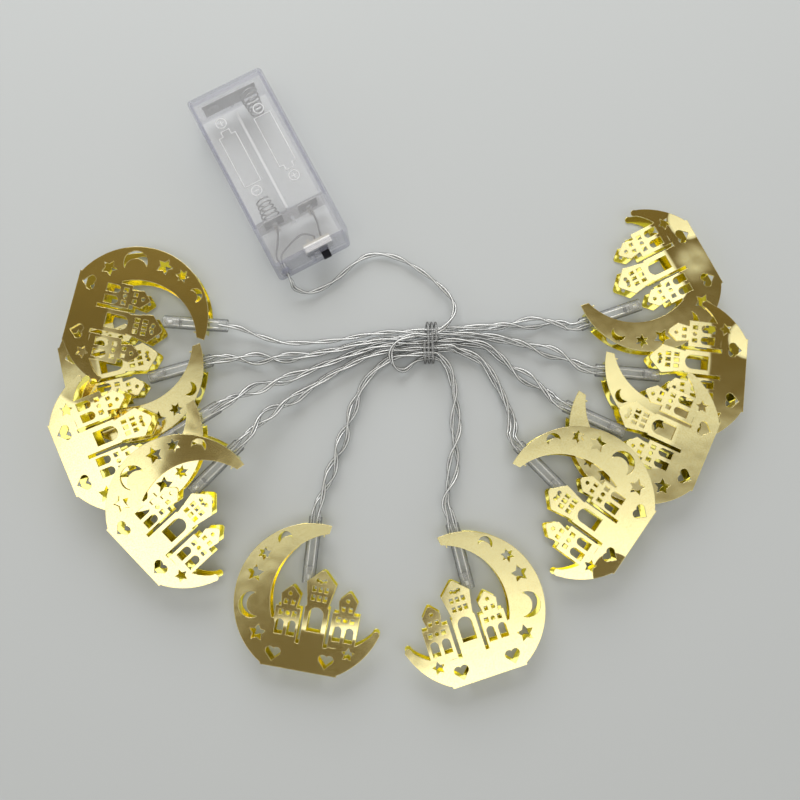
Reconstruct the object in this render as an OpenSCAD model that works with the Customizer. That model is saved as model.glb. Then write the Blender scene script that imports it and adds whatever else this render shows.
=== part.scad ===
// A battery string of ten moon-and-castle lamps, bundled and tied as it is sold.
// Millimetres. Origin: middle of the battery case's bottom face. +Y points away from
// the case's switch end, +Z is up, and everything lies on the plane z = 0.

/* [Battery case] */
// Length of the case, for two size AA cells and a switch room
case_l = 83.5; // [82:0.5:86]
// Width of the case
case_w = 35.5; // [35:0.5:38]
// Height of the case
case_h = 19; // [19:0.5:21]
// Thickness of the case's side and end walls
case_wall = 1.8; // [1.6:0.1:2]
// Thickness of the case's floor
case_floor = 1.6; // [1.2:0.1:2]
// Radius of the case's upright corners
case_corner = 2; // [1:0.5:3]
// Length of the cell bay between its end walls
bay_l = 60; // [59:0.5:61]
// Thickness of the sliding cover
cover_t = 2.8; // [2.6:0.1:3]
// Clearance round the sliding cover
cover_gap = 0.2; // [0.15:0.05:0.3]

/* [Switch] */
// Place of the switch across the case
switch_x = 4; // [2:0.5:5]
// Travel of the switch knob
switch_travel = 3; // [2:0.5:3.5]
// Width of the switch knob
knob_w = 3.6; // [3:0.2:4]

/* [Lamp] */
// Outer radius of the moon
moon_r = 31.5; // [31:0.5:33]
// Radius of the moon's hollow side
hollow_r = 27.2; // [26.5:0.1:27.5]
// Overall thickness of a lamp, plate to plate
lamp_t = 9; // [8.8:0.1:10]
// Thickness of the gilt sheet
sheet = 0.5; // [0.4:0.1:0.6]
// Width of the folded foot
foot_w = 31.5; // [30:0.5:33]
// Outer diameter of the clear sleeve that holds the light
sleeve_d = 5.6; // [5.4:0.1:5.8]
// Inner diameter of the sleeve
sleeve_bore = 4.8; // [4.7:0.1:4.9]
// Length of the sleeve
sleeve_l = 27.5; // [26:0.5:28]

/* [Cord] */
// Width of the two-wire cord
cord_d = 2.2; // [2:0.1:2.2]
// Sideways reach of the two cords that twist round each other in a leg
twist_reach = 2; // [1.6:0.1:2.2]
// Turns of the wire tie round the bundle
tie_turns = 3; // [2:1:4]

/* [Hidden] */
$fn = 48;
eps = 0.01;

LAMPS = 10;

// Case levels and walls
bay_end = case_l / 2 - case_wall;
partition_t = 1.5;
partition_y = bay_end - bay_l;
room_y = partition_y - partition_t;
inner_w = case_w - 2 * case_wall;
cover_z = case_h - cover_t - cover_gap;
tongue_h = 1.2;
tongue_w = 0.9;
rail_z = cover_z - cover_gap;
rib_h = 4;
rib_t = 1.2;
rib_end = 5;
cell_x = inner_w / 4 + rib_t / 4;

// Contacts
strip_t = 0.4;
contact_w = 9;
contact_z = case_floor + 3;
contact_h = 9;
spring_wire = 0.7;
spring_turns = 5;
spring_base_r = 4.2;
spring_tip_r = 2.8;
spring_l = 11;
spring_z = contact_z + contact_h / 2;
tab_w = 2.4;

// Switch and cord exit
frame_w = 12.4;
frame_t = 4;
frame_h = 6;
frame_z = 6;
slot_h = 2.8;
knob_h = 2;
knob_out = 3;
knob_rest = switch_x + switch_travel / 2;
switch_back = -bay_end + frame_t;
exit_x = -13.4;
exit_z = 8;
grommet_d = 3.6;
grommet_flange = 5;

// Lamp outline
foot_y = -0.89 * moon_r;
hollow_at = [10.4, 1.8];
horn_end = 1;
back_horn_end = -10;
ground_top = -9;
nook_at = [12, 2];
nook_r = 18.9;
slot_w = 1.5;
grip_at = [-4.4, 29.7];
grip_turn = 8;
bridge_w = 8.4;
fold_at = 7.2;
fold_w = 4;
cord_in = 4;
pair_off = cord_d / 2 + 0.14;

// Where the string lies. The table's own axes are turned against the case, and their
// middle is under the tie.
table_turn = -28;
table_at = [27, -98];

// Lamp places on the table: x, y, turn, hand, lift, tilt, then how far the sleeve stands
// out of its grip and how it leans. They run along the string, with odd ones right of the
// tie and even ones left.
POSES = [
  [15, -111.5, 18, -1, 0, 0, 5, 4],
  [-49.6, -108.2, -10, 1, 0, 0, 4.2, 4],
  [61, -68, 54, -1, 1.8, 0, 4, 10],
  [-101.5, -70.5, -47, 1, 6.2, 8, 5, 2],
  [89.5, -37.5, 65, 1, 1.2, 0, 4, 0],
  [-125, -40, -68, -1, 9.6, 8, 9, -10],
  [105.5, -11.5, 83, 1, 0.6, 0, 4.5, 2],
  [-128, -11.5, -76, -1, 0, 0, 4, -2],
  [94, 27, 117, 1, 0, 0, 4.5, -8],
  [-126.5, 10, -102, 1, 0.6, 0, 9, 8]];

// Each leg's way over the table, from the tie to its lamp
WAYS = [
  [[9, -13, 2.9], [11, -32, 2.9], [9.5, -54, 2.9], [6.4, -67, 3.6]],
  [[-18, -7, 3], [-29, -18, 2.9], [-37, -40, 2.9], [-44, -60, 3]],
  [[22, -7.5, 3], [30, -20, 2.9], [35, -33, 3]],
  [[-24, -4.2, 3], [-42, -13, 2.9], [-58, -24, 4.4], [-69, -31.5, 9]],
  [[24, -1, 3], [36, -11, 2.9], [49, -20, 3]],
  [[-24, -1.2, 3], [-43, -8, 2.9], [-60, -15, 4.4], [-74, -20.5, 9]],
  [[24, 3.2, 3], [40, 0, 2.9], [56, -5, 3]],
  [[-24, 1.6, 3], [-43, -3, 2.9], [-62, -6, 2.9], [-78, -6.5, 3]],
  [[24, 7.2, 3], [40, 9, 2.9], [54, 9.5, 3]],
  [[-24, 4.6, 3], [-43, 1.4, 2.9], [-62, 0.5, 2.9], [-74, 3.5, 3]]];

// Twisted length of each leg, and its half turns. The last lamp has one cord only.
TWISTS = [[54, 3], [50, 3], [24, 1], [34, 2], [30, 2], [36, 2], [32, 2], [36, 2], [32, 2], [1, 0]];

// The lead's way from the case to the tie, over it, and round a fold to the lowest lane
LEAD = [
  [-58.5, 24, 5.4], [-53, 22.8, 3.2], [-46, 25.6, 2.2], [-40, 30, 2.2], [-34, 35.5, 2.2],
  [-28, 39.5, 2.2], [-21, 40.5, 2.2], [-14, 38.8, 2.2], [-7, 35, 2.2], [0, 30, 2.4],
  [6.5, 24, 3], [10.4, 18, 4.4], [10, 12, 6.4], [6, 6.4, 7.6], [0, 3.4, 7.6], [-7, 3, 7.6],
  [-13.6, 0.6, 7.6], [-17, -4.4, 7.4], [-15.6, -10, 5.4], [-11, -11.6, 3], [-6, -7.4, 2.6]];

// Lanes through the tie: two rows, staggered
lane_step = 1.3;
lane_low = 2.7;
lane_high = 5;
lane_run = 9;
axis_slope = 0.08;

tie_d = 1.1;
tie_pitch = 1.7;
tie_half_w = 8.5;
tie_half_h = 4.4;
tie_rings = 24;

function unit(v) = v / norm(v);
function flat_left(v) = unit([-v.y, v.x, 0]);
function turned(p, a) = [p.x * cos(a) - p.y * sin(a), p.x * sin(a) + p.y * cos(a), p.z];
function tilted(p, a) = [p.x, p.y * cos(a) - p.z * sin(a), p.y * sin(a) + p.z * cos(a)];
function back_to_front(list) = [for (i = [len(list) - 1:-1:0]) list[i]];

// A point of lamp k, moved from the lamp's own axes to the table's
function lamp_dir(k, p) =
  let (pose = POSES[k - 1])
  tilted(turned([pose[3] * p.x, p.y, p.z], pose[2]), pose[5]);
function lamp_point(k, p) = [POSES[k - 1][0], POSES[k - 1][1], POSES[k - 1][4]] + lamp_dir(k, p);

// A point of the case, moved from the part's axes to the table's
function case_point(p) = turned(p - [table_at.x, table_at.y, 0], -table_turn);

// The smooth curve through a list of points, with a number of steps between each two
function bend(a, b, c, d, t) =
  ((2 * b) + (c - a) * t + (2 * a - 5 * b + 4 * c - d) * t * t
   + (3 * b - a - 3 * c + d) * t * t * t) / 2;
function curve(list, steps) =
  let (n = len(list) - 1)
  [for (i = [0:n - 1], s = [0:steps - 1])
    bend(list[max(i - 1, 0)], list[i], list[i + 1], list[min(i + 2, n)], s / steps),
   list[n]];

// A round tube of n sides along a path, square at both ends
function along(path, i) = unit(path[min(i + 1, len(path) - 1)] - path[max(i - 1, 0)]);
function carried(u, t) = unit(u - (u * t) * t);
function sides(path) =
  let (first = along(path, 0))
  [for (i = 0, u = carried(abs(first.z) < 0.9 ? [0, 0, 1] : [1, 0, 0], first);
        i < len(path);
        i = i + 1, u = carried(u, along(path, min(i, len(path) - 1)))) u];

module tube(path, d, n) {
  side = sides(path);
  last = (len(path) - 1) * n;
  points = [for (i = [0:len(path) - 1], j = [0:n - 1])
    let (v = cross(along(path, i), side[i]), a = 360 * j / n)
    path[i] + d / 2 * (cos(a) * side[i] + sin(a) * v)];
  walls = [for (i = [0:len(path) - 2], j = [0:n - 1], half = [0, 1])
    let (a = i * n + j, b = i * n + (j + 1) % n)
    half == 0 ? [a, b + n, b] : [a, a + n, b + n]];
  ends = [for (j = [1:n - 2], end = [0, 1])
    end == 0 ? [0, j, j + 1] : [last, last + j + 1, last + j]];
  polyhedron(points, concat(walls, ends));
}

// Least gap between tubes, measured on the points of their paths
function gap_between(a, b, d) = min([for (p = a, q = b) norm(p - q)]) - d;
function gap_to_self(path, d, apart) =
  min([for (i = [0:len(path) - 1 - apart], j = [i + apart:len(path) - 1]) norm(path[i] - path[j])]) - d;

module on_table() translate([table_at.x, table_at.y, 0]) rotate(table_turn) children();
module at_lamp(k) {
  pose = POSES[k - 1];
  on_table() translate([pose[0], pose[1], pose[4]]) rotate([pose[5], 0, 0]) rotate(pose[2])
    mirror([pose[3] < 0 ? 1 : 0, 0, 0]) children();
}

// Battery case

module rounded(w, l, r) {
  square([w - 2 * r, l], center = true);
  square([w, l - 2 * r], center = true);
  for (x = [-1, 1], y = [-1, 1]) translate([x * (w / 2 - r), y * (l / 2 - r)]) circle(r);
}

module room(y_low, y_high, z_low) {
  translate([-inner_w / 2, y_low, z_low]) cube([inner_w, y_high - y_low, case_h]);
}

module case_body() color("lightsteelblue", 0.5) difference() {
  union() {
    difference() {
      linear_extrude(case_h) rounded(case_w, case_l, case_corner);
      room(partition_y, bay_end, case_floor);
      room(-bay_end, room_y, case_floor);
      // rails for the cover's tongues, and the low end wall that it slides out over
      translate([-inner_w / 2 - tongue_w - cover_gap, room_y, rail_z])
        cube([inner_w + 2 * (tongue_w + cover_gap), case_l, tongue_h + 2 * cover_gap]);
      translate([-inner_w / 2, room_y, rail_z]) cube([inner_w, case_l, case_h]);
    }
    translate([-rib_t / 2, partition_y + rib_end, eps]) cube([rib_t, bay_l - 2 * rib_end, case_floor + rib_h]);
  }
  // openings in the end wall for the knob and the cord
  translate([switch_x - switch_travel / 2 - knob_w / 2 - 0.3, -case_l / 2 - 1, frame_z + (frame_h - slot_h) / 2])
    cube([switch_travel + knob_w + 0.6, case_wall + 2, slot_h]);
  translate([exit_x, -case_l / 2 - 1, exit_z]) rotate([-90, 0, 0]) cylinder(d = grommet_d, h = case_wall + 2);
  // slits in the partition for the contact tabs
  for (x = [-cell_x, cell_x])
    translate([x - tab_w / 2 - 0.1, room_y - 1, spring_z - strip_t / 2 - 0.1])
      cube([tab_w + 0.2, partition_t + 2, strip_t + 0.2]);
}

module case_cover() color("lightsteelblue", 0.5) intersection() {
  translate([0, case_l / 2, 0]) rotate([90, 0, 0]) linear_extrude(case_l / 2 - partition_y + partition_t / 2)
    translate([0, cover_z]) {
      translate([-inner_w / 2 + cover_gap, 0]) square([inner_w - 2 * cover_gap, cover_t]);
      translate([-inner_w / 2 - tongue_w + cover_gap, 0])
        square([inner_w + 2 * (tongue_w - cover_gap), tongue_h]);
    }
  linear_extrude(case_h) rounded(case_w, case_l, case_corner);
}

// The fixed deck over the switch room, glued into the case
module switch_cap() color("lightsteelblue", 0.5) {
  cap_l = bay_end + partition_y - partition_t / 2 - cover_gap;
  translate([-inner_w / 2, -bay_end, rail_z]) cube([inner_w, cap_l, case_h - rail_z]);
}

// Contacts

module spring(turn) {
  path = concat(
    [[spring_base_r, 0, 0], [spring_base_r, 0, spring_wire]],
    [for (i = [1:8 * spring_turns])
      let (s = i / (8 * spring_turns), r = spring_base_r + (spring_tip_r - spring_base_r) * s)
      [r * cos(360 * spring_turns * s), r * sin(360 * spring_turns * s),
       spring_wire + (spring_l - spring_wire) * s]]);
  rotate([turn, 0, 0]) tube(path, spring_wire, 6);
}

module contact_strip(x, y, w) {
  translate([x - w / 2, y, contact_z]) cube([w, strip_t, contact_h]);
}

module link_plate() color("silver") {
  contact_strip(0, bay_end - strip_t, 2 * cell_x + contact_w);
  translate([-cell_x, bay_end - strip_t, spring_z]) rotate([90, 0, 0]) cylinder(d1 = 5, d2 = 3.4, h = 0.8);
}

module link_spring() color("silver")
  translate([cell_x, bay_end - strip_t, spring_z]) spring(90);

module near_plate(x, rise) {
  contact_strip(x, partition_y, contact_w);
  translate([x - tab_w / 2, room_y - 3, spring_z - strip_t / 2]) cube([tab_w, partition_t + 3 + eps, strip_t]);
  if (rise > 0)
    translate([x, partition_y + strip_t, spring_z]) rotate([-90, 0, 0]) cylinder(d1 = 5, d2 = 3.4, h = rise);
}

module negative_plate() color("silver") near_plate(-cell_x, 0);

module negative_spring() color("silver")
  translate([-cell_x, partition_y + strip_t, spring_z]) spring(-90);

module positive_plate() color("silver") near_plate(cell_x, 0.8);

// Switch

module switch_frame() color("gainsboro") translate([switch_x, -bay_end, frame_z]) difference() {
  translate([-frame_w / 2, 0, 0]) cube([frame_w, frame_t - 0.8, frame_h]);
  translate([-frame_w / 2 + 0.4, 0.4, 0.4]) cube([frame_w - 0.8, frame_t, frame_h - 0.8]);
  translate([-(switch_travel + knob_w + 0.6) / 2, -1, (frame_h - slot_h) / 2])
    cube([switch_travel + knob_w + 0.6, 2, slot_h]);
}

module switch_board() color("peru") {
  translate([switch_x - frame_w / 2, switch_back - 0.8, frame_z]) cube([frame_w, 0.8, frame_h]);
  for (i = [-1:1])
    translate([switch_x + 3 * i - 0.6, switch_back - eps, frame_z + frame_h / 2 - 0.2]) cube([1.2, 2.6, 0.4]);
}

module switch_knob() color("black") {
  slider_l = 1.6;
  translate([knob_rest - knob_w / 2, -case_l / 2 - knob_out, frame_z + (frame_h - knob_h) / 2])
    cube([knob_w, knob_out + case_wall + 1, knob_h]);
  translate([knob_rest - knob_w / 2, -bay_end + 0.6, frame_z + 0.8]) cube([knob_w, slider_l, frame_h - 1.6]);
}

// Wires from the contact tabs to the switch and to the lead
module hookup_wires() color("silver") {
  wire_d = 0.9;
  tab_y = room_y - 2.4;
  tab_top = spring_z + strip_t / 2;
  terminal_y = switch_back + 1.6;
  terminal_top = frame_z + frame_h / 2 + 0.2;
  lead_end = -bay_end + 2.2;
  wire_top = 12.4;
  for (route = [
    [[cell_x, tab_y, tab_top], [cell_x, tab_y - 0.2, wire_top], [cell_x, terminal_y + 5, wire_top + 0.6],
     [switch_x + 3.2, terminal_y + 1, wire_top - 0.6], [switch_x + 3, terminal_y, terminal_top]],
    [[switch_x, terminal_y, terminal_top], [switch_x - 0.2, terminal_y + 0.6, wire_top - 1],
     [switch_x - 5, terminal_y + 3, wire_top - 0.4], [exit_x + 2.4, lead_end + 4, exit_z + 1],
     [exit_x + 0.55, lead_end + 1, exit_z], [exit_x + 0.55, lead_end, exit_z]],
    [[-cell_x, tab_y, tab_top], [-cell_x, tab_y - 0.4, wire_top - 0.6], [-cell_x - 1.6, tab_y - 4, wire_top - 1],
     [exit_x - 0.7, lead_end + 4, exit_z + 0.6], [exit_x - 0.55, lead_end + 1, exit_z], [exit_x - 0.55, lead_end, exit_z]]])
    tube(curve(route, 2), wire_d, 6);
}

module cord_grommet() color("whitesmoke", 0.7) translate([exit_x, -case_l / 2, exit_z]) rotate([90, 0, 0]) difference() {
  union() {
    translate([0, 0, -case_wall]) cylinder(d = grommet_d, h = case_wall + eps);
    cylinder(d1 = grommet_flange, d2 = grommet_d, h = 1.2);
  }
  translate([0, 0, -case_wall - 1]) cylinder(d = cord_d + 0.1, h = case_wall + 4);
}

// Lamps

module star(r, points) {
  polygon([for (i = [0:2 * points - 1])
    let (a = 90 + 180 * i / points) (i % 2 == 0 ? r : 0.52 * r) * [cos(a), sin(a)]]);
}

module heart(w) {
  lobe = 0.28 * w;
  for (x = [-1, 1]) translate([x * 0.22 * w, 0.14 * w]) circle(lobe);
  polygon([[-0.46 * w, 0], [0, -0.48 * w], [0.46 * w, 0], [0.2 * w, 0.24 * w], [-0.2 * w, 0.24 * w]]);
}

module sickle(r, bite, shift) difference() {
  circle(r);
  translate([shift, 0]) circle(bite);
}

// One tower: a body, then a lantern that widens to the eaves under a roof with a round tip
module tower(x, body_w, body_top, neck_w, eave_w, eave_y, apex_y, tip_r) translate([x, 0]) {
  slope = atan2(eave_w / 2, apex_y - eave_y);
  tip_y = apex_y - tip_r / sin(slope);
  tip = [for (i = [-3:3])
    let (a = 90 + i * (90 - slope) / 3) [tip_r * cos(a), tip_y + tip_r * sin(a)]];
  translate([-body_w / 2, 0.6 * foot_y]) square([body_w, body_top - 0.6 * foot_y]);
  polygon(concat(
    [[-neck_w / 2, body_top - 1], [neck_w / 2, body_top - 1], [neck_w / 2, body_top + 0.6],
     [eave_w / 2, eave_y]],
    tip,
    [[-eave_w / 2, eave_y], [-neck_w / 2, body_top + 0.6]]));
}

module arch(x, y, w, h) translate([x, y]) {
  translate([-w / 2, 0]) square([w, h - w / 2]);
  translate([0, h - w / 2]) circle(w / 2);
}

module windows() {
  // side towers: a round light, two rows of panes and two doors each
  for (x = [-8.4, 15.4], lift = [x > 0 ? 0.9 : 0]) {
    translate([x - 0.2, 1.6 + lift]) circle(0.8);
    for (i = [-1, 1]) {
      translate([x + 1.5 * i - 0.75, -2.7 + lift]) square([1.5, 1.8]);
      translate([x + 2.8 * i - 0.9, -7.4 + lift]) square([1.8, 2.1]);
      arch(x + 2.5 * i, -15 + lift, 3.4, 6);
    }
    translate([x, -6.3 + lift]) circle(0.9);
  }
  // middle tower: a scalloped light, six panes and the tall gate
  for (i = [-1:1]) {
    translate([3.1 + 1.5 * i, 8.3 + 0.4 * abs(i)]) circle(0.85);
    for (row = [0, 1]) translate([2.4 + 2.5 * i, 4 - 3.6 * row]) square([1.6, 2.2]);
  }
  arch(3.2, -12, 6, 9.8);
}

module charms() {
  translate([-15, 23]) rotate(-58) sickle(3, 3.2, 2.4);
  translate([-22.2, 15.6]) star(2.9, 6);
  translate([-24.6, 7.2]) star(3.6, 5);
  translate([-23.8, -5.6]) rotate(14) sickle(5.2, 4.8, 3);
  translate([-19.2, -16]) star(3.5, 5);
  translate([-11.4, -23]) heart(6.2);
  translate([10.4, -22.8]) heart(6.2);
  translate([18.8, -18.4]) star(2.7, 5);
}

// Where the small horn ends, at its outer and its inner edge
horn_outer = sqrt(moon_r * moon_r - ground_top * ground_top);
horn_inner = nook_at.x + sqrt(nook_r * nook_r - pow(ground_top - nook_at.y, 2));

module plate_outline(horn_to) difference() {
  union() {
    difference() {
      circle(moon_r, $fn = 96);
      translate(hollow_at) circle(hollow_r, $fn = 96);
      translate([-moon_r, foot_y - moon_r]) square([2 * moon_r, moon_r]);
      translate([horn_to, moon_r / 2]) rotate(-8) square([2 * moon_r, moon_r]);
      translate([moon_r / 2, 0]) square(2 * moon_r);
    }
    // ground under the castle, with the small horn at its far end
    difference() {
      intersection() {
        circle(moon_r, $fn = 96);
        translate([-moon_r / 2, foot_y]) square([2 * moon_r, ground_top - foot_y]);
      }
      translate(nook_at) circle(nook_r, $fn = 96);
    }
    translate([(horn_outer + horn_inner) / 2, ground_top]) circle((horn_outer - horn_inner) / 2 + 0.05);
    translate([-foot_w / 2, foot_y]) square([foot_w, 1.6]);
    tower(-8.4, 10.6, -3.8, 6.4, 7.8, 1.3, 5.2, 1.2);
    tower(3.2, 10, -2, 8.8, 12.2, 7.6, 13.4, 1.6);
    tower(15.4, 11.2, -2.9, 6.2, 7.8, 2, 6.4, 1.2);
  }
  // slits between the towers, and the gap behind the moon
  for (x = [-2.5, 9]) translate([x - slot_w / 2, -17.4]) square([slot_w, 20]);
  windows();
  charms();
}

// One sheet, cut and folded: the front, the foot and the back, with a bridge at the
// horn that grips the sleeve and a lip turned down at the horn's tip
module lamp_shell(k) color("gold") at_lamp(k) {
  translate([0, 0, lamp_t - sheet]) linear_extrude(sheet) plate_outline(horn_end);
  linear_extrude(sheet) plate_outline(back_horn_end);
  for (x = [-1, 1]) translate([x * fold_at - fold_w / 2, foot_y, 0]) cube([fold_w, sheet, lamp_t]);
  translate([horn_end - 0.7, 26.2, lamp_t - 3.4]) cube([sheet, 3.6, 3.2]);
  difference() {
    translate([grip_at.x, grip_at.y, 0]) rotate(grip_turn)
      translate([-bridge_w / 2, -sheet / 2, sheet / 2]) cube([bridge_w, sheet, lamp_t - sheet]);
    sleeve_core(k, sleeve_d, -3, 3);
  }
}

// A cylinder on the sleeve's line, between two distances out from the grip
module sleeve_core(k, d, from, to) {
  translate([grip_at.x, grip_at.y, lamp_t / 2]) rotate([-90, 0, POSES[k - 1][7]])
    translate([0, 0, from]) cylinder(d = d, h = to - from);
}

module lamp_sleeve(k) color("whitesmoke", 0.5) at_lamp(k) {
  out = POSES[k - 1][6];
  difference() {
    sleeve_core(k, sleeve_d, out - sleeve_l, out);
    sleeve_core(k, sleeve_bore, out - sleeve_l - 1, out + 1);
  }
}

// The light: a lens with its rim, and two legs that reach the cord
module lamp_light(k) color("ivory") at_lamp(k) {
  lens_d = 3.4;
  lens_l = 4;
  rim_l = 1.2;
  leg_l = sleeve_l - cord_in - lens_d / 2 - lens_l;
  translate([grip_at.x, grip_at.y, lamp_t / 2]) rotate([-90, 0, POSES[k - 1][7]])
    translate([0, 0, POSES[k - 1][6] - sleeve_l + lens_d / 2]) {
      sphere(d = lens_d);
      cylinder(d = lens_d, h = lens_l);
      translate([0, 0, lens_l - eps]) cylinder(d = sleeve_bore, h = rim_l);
      for (x = [-1, 1]) translate([x * pair_off, 0, lens_l]) cylinder(d = 0.6, h = leg_l);
    }
}

// Cords

// Lanes of the cords through the tie, counted from the lowest
function lane(i, x) =
  [x, (i - (LAMPS - 1) / 2) * lane_step + axis_slope * x, i % 2 == 0 ? lane_low : lane_high];
function right_side(k) = k % 2 == 1 ? 1 : -1;
function exit_run(k) = right_side(k) * (k == 1 ? 3 : lane_run);
function has_pair(k) = k < LAMPS ? 1 : 0;
function lane_middle(k, x) = has_pair(k) == 1 ? (lane(k - 1, x) + lane(k, x)) / 2 : lane(k - 1, x);

// A point on the sleeve's line: s out from the grip and w beside it
function on_sleeve(k, s, w) =
  let (lean = POSES[k - 1][7])
  [grip_at.x - s * sin(lean) + w * cos(lean), grip_at.y + s * cos(lean) + w * sin(lean), lamp_t / 2];

// The middle line of a leg, from outside the sleeve to the tie
function leg_line(k) =
  let (mouth = POSES[k - 1][6])
  curve(concat([lamp_point(k, on_sleeve(k, mouth + 4, 0))], back_to_front(WAYS[k - 1]),
               [lane_middle(k, exit_run(k))]), 4);
function runs(line) =
  [for (i = 0, s = 0; i < len(line); i = i + 1, s = s + (i < len(line) ? norm(line[i] - line[i - 1]) : 0)) s];

// One cord of a leg: side 1 goes on to the next lamp, side -1 comes from the last one
function leg(k, side) =
  let (mouth = POSES[k - 1][6],
       line = leg_line(k),
       run = runs(line),
       twist = TWISTS[k - 1],
       upper = k % 2 == 1 ? 60 : -60,
       start = has_pair(k) * pair_off,
       across = flat_left(line[1] - line[0]) * -right_side(k),
       beside = lamp_dir(k, on_sleeve(k, 0, 1) - on_sleeve(k, 0, 0)),
       w = side * start * (beside * across < 0 ? -1 : 1) * cos(180 * twist[1]))
  concat(
    [for (s = [-cord_in, 0, 2]) lamp_point(k, on_sleeve(k, mouth + s, w))],
    [for (i = [1:len(line) - 2])
      let (s = min(run[i] / twist[0], 1),
           turn = upper + (180 * twist[1] - upper) * (1 - s),
           bulge = pow(sin(180 * s), 2),
           open = has_pair(k) * (pair_off + 0.06 * s + (twist_reach - pair_off) * bulge),
           rise = has_pair(k) * (pair_off + 0.09 * s + 0.4 * bulge),
           left = flat_left(along(line, i)) * -right_side(k))
      line[i] + side * (open * cos(turn) * left + rise * sin(turn) * [0, 0, 1])]);

function link_path(k) =
  concat(leg(k, 1), [lane(k, exit_run(k)), lane(k, 0), lane(k, exit_run(k + 1))],
         back_to_front(leg(k + 1, -1)));
function lead_path() =
  concat([for (y = [2.2, 0, -2.4, -5]) case_point([exit_x, -bay_end - case_wall + (y > 0 ? case_wall + y : y), exit_z])],
         LEAD, [lane(0, 0)], back_to_front(leg(1, -1)));

module lead_cord() color("whitesmoke") on_table() tube(lead_path(), cord_d, 6);
module link_cord(k) color("whitesmoke") on_table() tube(link_path(k), cord_d, 6);

// The tie: wire wound round the bundle on a rounded oblong
function oblong(a, half) = sign(a) * half * pow(abs(a), 0.5);
function tie_path() =
  [for (i = [0:tie_rings * tie_turns])
    let (a = 360 * i / tie_rings + 90)
    [tie_pitch * (i / tie_rings - tie_turns / 2), oblong(cos(a), tie_half_w),
     tie_half_h + tie_d / 2 + oblong(sin(a), tie_half_h)]];
module bundle_tie() color("whitesmoke") on_table() tube(tie_path(), tie_d, 6);

union() {
  cords = concat([lead_path()], [for (k = [1:LAMPS - 1]) link_path(k)]);
  echo("least gap between two cords", min([for (i = [0:LAMPS - 2], j = [i + 1:LAMPS - 1])
    gap_between(curve(cords[i], 2), curve(cords[j], 2), cord_d)]));
  echo("least gap of the tie to itself", gap_to_self(tie_path(), tie_d, tie_rings / 2));
}

case_body();
case_cover();
switch_cap();
switch_frame();
switch_board();
switch_knob();
link_plate();
link_spring();
negative_plate();
negative_spring();
positive_plate();
hookup_wires();
cord_grommet();
bundle_tie();
lead_cord();
for (k = [1:LAMPS - 1]) link_cord(k);
for (k = [1:LAMPS]) {
  lamp_shell(k);
  lamp_sleeve(k);
  lamp_light(k);
}
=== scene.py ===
"""A battery string of gilt moon-and-castle lamps, bundled and tied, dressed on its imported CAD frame.

The part's frame is in metres: the origin is the middle of the battery case's bottom face, +Y points
away from the case's switch end, and +Z is up. The pieces' own sizes are written in millimetres.
"""
import collections
import math

import bmesh
import bpy
from mathutils import Matrix, Vector


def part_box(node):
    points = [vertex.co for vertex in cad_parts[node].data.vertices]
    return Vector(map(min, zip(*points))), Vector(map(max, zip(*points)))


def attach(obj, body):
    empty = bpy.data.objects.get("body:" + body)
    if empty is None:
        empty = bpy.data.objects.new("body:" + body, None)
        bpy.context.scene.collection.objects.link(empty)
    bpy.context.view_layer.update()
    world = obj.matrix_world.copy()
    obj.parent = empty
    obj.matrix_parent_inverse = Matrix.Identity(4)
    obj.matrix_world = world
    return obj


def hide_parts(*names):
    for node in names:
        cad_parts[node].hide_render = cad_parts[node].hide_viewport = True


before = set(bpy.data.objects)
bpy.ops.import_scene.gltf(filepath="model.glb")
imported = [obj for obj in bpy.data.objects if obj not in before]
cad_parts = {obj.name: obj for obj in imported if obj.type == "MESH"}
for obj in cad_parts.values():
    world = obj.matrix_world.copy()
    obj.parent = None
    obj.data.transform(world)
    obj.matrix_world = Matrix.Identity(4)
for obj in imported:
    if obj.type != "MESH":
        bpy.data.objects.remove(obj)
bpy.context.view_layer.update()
scene = bpy.context.scene
scene.view_settings.view_transform = "Standard"


# Table and camera. The string lies on a table whose own axes follow the picture's sides and are
# turned against the case; their middle is under the tie. The camera is held above the table, level
# with the lower lamps, and leans a little towards the case.
MM = 0.001
TABLE_TURN = math.radians(-28)
TABLE_AT = Vector((27, -98, 0)) * MM
CAMERA_OVER = Vector((-13, -66.3, 336)) * MM
CAMERA_LEAN = math.radians(7.15)
FOCAL_PIXELS = 780
IMAGE_PIXELS = 800
SENSOR = 36.0
NEAREST_SEEN = 10

table = Matrix.Translation(TABLE_AT) @ Matrix.Rotation(TABLE_TURN, 4, "Z")

camera = bpy.data.objects.new("camera", bpy.data.cameras.new("camera"))
camera.data.sensor_width = SENSOR
camera.data.lens = SENSOR * FOCAL_PIXELS / IMAGE_PIXELS
camera.data.clip_start = NEAREST_SEEN * MM
camera.matrix_world = table @ Matrix.Translation(CAMERA_OVER) @ Matrix.Rotation(CAMERA_LEAN, 4, "X")
scene.collection.objects.link(camera)
scene.camera = camera


# Cords. Each is two clear soft wires with silver strands inside, laid side by side. They leave the
# sleeves of the lamps, twist two and two in the legs, and run through the tie in two flat rows.
# The places of the lamps and of the cords repeat those of the part's source, on the table's axes.

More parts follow.
